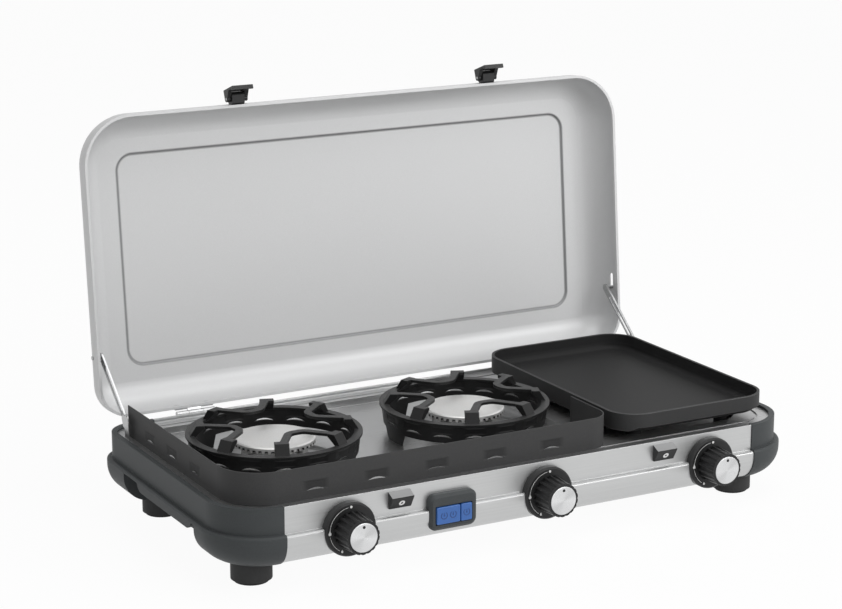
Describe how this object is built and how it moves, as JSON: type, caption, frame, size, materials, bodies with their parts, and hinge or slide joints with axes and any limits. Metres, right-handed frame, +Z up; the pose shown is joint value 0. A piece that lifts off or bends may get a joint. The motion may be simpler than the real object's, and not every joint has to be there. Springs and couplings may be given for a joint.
{
  "type": "camping stove",
  "caption": "Table-top gas camping stove with open burners, a lift-out griddle plate, turn knobs, push-button igniter and a hinged lid with stays and latches.",
  "frame": {"origin": "centre of the footprint of the whole open stove, on the table", "axes": "+X to the stove's right as the cook sees it, +Y to the back, +Z up"},
  "size_m": [0.701, 0.4517, 0.4515],
  "materials": {
    "silver_paint": "satin light grey paint",
    "fascia_steel": "fine brushed stainless steel",
    "plain_steel": "plain zinc-plated steel",
    "end_plastic": "fine-grained dark grey plastic",
    "foot_rubber": "matt black rubber",
    "dark_coat": "matt dark grey heat-proof paint",
    "black_enamel": "semi-gloss black enamel",
    "griddle_coat": "cast aluminium with a dark non-stick coat",
    "burner_alloy": "plain cast aluminium",
    "burner_steel": "stainless tube",
    "brass": "machined brass",
    "knob_black": "black plastic",
    "knob_silver": "spun aluminium disc",
    "button_blue": "blue plastic",
    "ceramic_white": "white glazed ceramic insulator",
    "eyelet_white": "white washer"
  },
  "bodies": {
    "base": {"hob_tray": "silver_paint", "front_fascia": "fascia_steel", "rear_panel": "fascia_steel", "base_pan": "plain_steel", "gas_manifold": "plain_steel", "manifold_brackets": "plain_steel", "left_hinge_base_leaf": "plain_steel", "right_hinge_base_leaf": "plain_steel", "hinge_pins": "plain_steel", "hinge_screws": "plain_steel", "stay_brackets": "plain_steel", "stay_pins": "plain_steel", "left_end_cap": "end_plastic", "right_end_cap": "end_plastic", "feet": "foot_rubber", "windscreen": "dark_coat", "left_burner": "burner_alloy", "right_burner": "burner_alloy", "left_burner_cap": "burner_alloy", "right_burner_cap": "burner_alloy", "griddle_burner": "burner_steel", "gas_inlet_nozzle": "brass", "left_valve": "brass", "right_valve": "brass", "griddle_valve": "brass", "left_jet": "brass", "right_jet": "brass", "griddle_jet": "brass", "knob_bezels": "knob_black", "igniter_housing": "knob_black", "igniter_module": "knob_black", "front_catches": "knob_black", "spark_electrodes": "ceramic_white", "catch_eyelets": "eyelet_white"},
    "lid": {"lid_shell": "silver_paint", "left_hinge_lid_leaf": "plain_steel", "right_hinge_lid_leaf": "plain_steel", "lid_rivets": "plain_steel", "latch_bases": "knob_black", "latch_pins": "plain_steel"},
    "left_stay": {"left_lid_stay": "plain_steel"},
    "right_stay": {"right_lid_stay": "plain_steel"},
    "left_latch": {"left_latch_clip": "knob_black"},
    "right_latch": {"right_latch_clip": "knob_black"},
    "left_control": {"left_knob": "knob_black", "left_knob_cap": "knob_silver", "left_valve_stem": "brass"},
    "right_control": {"right_knob": "knob_black", "right_knob_cap": "knob_silver", "right_valve_stem": "brass"},
    "griddle_control": {"griddle_knob": "knob_black", "griddle_knob_cap": "knob_silver", "griddle_valve_stem": "brass"},
    "wide_button": {"wide_igniter_button": "button_blue"},
    "narrow_button": {"narrow_igniter_button": "button_blue"},
    "left_support": {"left_pan_support": "black_enamel"},
    "right_support": {"right_pan_support": "black_enamel"},
    "griddle": {"griddle_plate": "griddle_coat"}
  },
  "joints": [
    {"name": "lid_hinge", "type": "hinge", "parent": "base", "child": "lid", "pos_m": [0, 0.15424, 0.0899], "axis": [-1, 0, 0], "range_deg": [-95.1, 0]},
    {"name": "left_stay_pivot", "type": "hinge", "parent": "lid", "child": "left_stay", "pos_m": [-0.3316, 0.1778, 0.16159], "axis": [-1, 0, 0], "range_deg": [0, 134.97]},
    {"name": "right_stay_pivot", "type": "hinge", "parent": "lid", "child": "right_stay", "pos_m": [0.3316, 0.1778, 0.16159], "axis": [-1, 0, 0], "range_deg": [0, 134.97]},
    {"name": "left_latch_pivot", "type": "hinge", "parent": "lid", "child": "left_latch", "pos_m": [-0.156, 0.19296, 0.43382], "axis": [-1, 0, 0], "range_deg": [-15, 75]},
    {"name": "right_latch_pivot", "type": "hinge", "parent": "lid", "child": "right_latch", "pos_m": [0.167, 0.19296, 0.43382], "axis": [-1, 0, 0], "range_deg": [-15, 75]},
    {"name": "left_knob_turn", "type": "hinge", "parent": "base", "child": "left_control", "pos_m": [-0.215, -0.20936, 0.058], "axis": [0, -1, 0], "range_deg": [0, 205]},
    {"name": "right_knob_turn", "type": "hinge", "parent": "base", "child": "right_control", "pos_m": [0.0185, -0.20936, 0.058], "axis": [0, -1, 0], "range_deg": [0, 205]},
    {"name": "griddle_knob_turn", "type": "hinge", "parent": "base", "child": "griddle_control", "pos_m": [0.227, -0.20936, 0.058], "axis": [0, -1, 0], "range_deg": [0, 205]},
    {"name": "wide_button_press", "type": "slide", "parent": "base", "child": "wide_button", "axis": [0, 1, 0], "range_m": [0, 0.0035], "stiffness_N_per_m": 900},
    {"name": "narrow_button_press", "type": "slide", "parent": "base", "child": "narrow_button", "axis": [0, 1, 0], "range_m": [0, 0.0035], "stiffness_N_per_m": 900},
    {"name": "left_support_lift", "type": "slide", "parent": "base", "child": "left_support", "axis": [0, 0, 1], "range_m": [0, 0.06]},
    {"name": "right_support_lift", "type": "slide", "parent": "base", "child": "right_support", "axis": [0, 0, 1], "range_m": [0, 0.06]},
    {"name": "griddle_lift", "type": "slide", "parent": "base", "child": "griddle", "axis": [0, 0, 1], "range_m": [0, 0.06]}
  ],
  "couplings": [
    {"joint": "left_stay_pivot", "follows": "lid_hinge", "ratio": -1.4192},
    {"joint": "right_stay_pivot", "follows": "lid_hinge", "ratio": -1.4192}
  ]
}
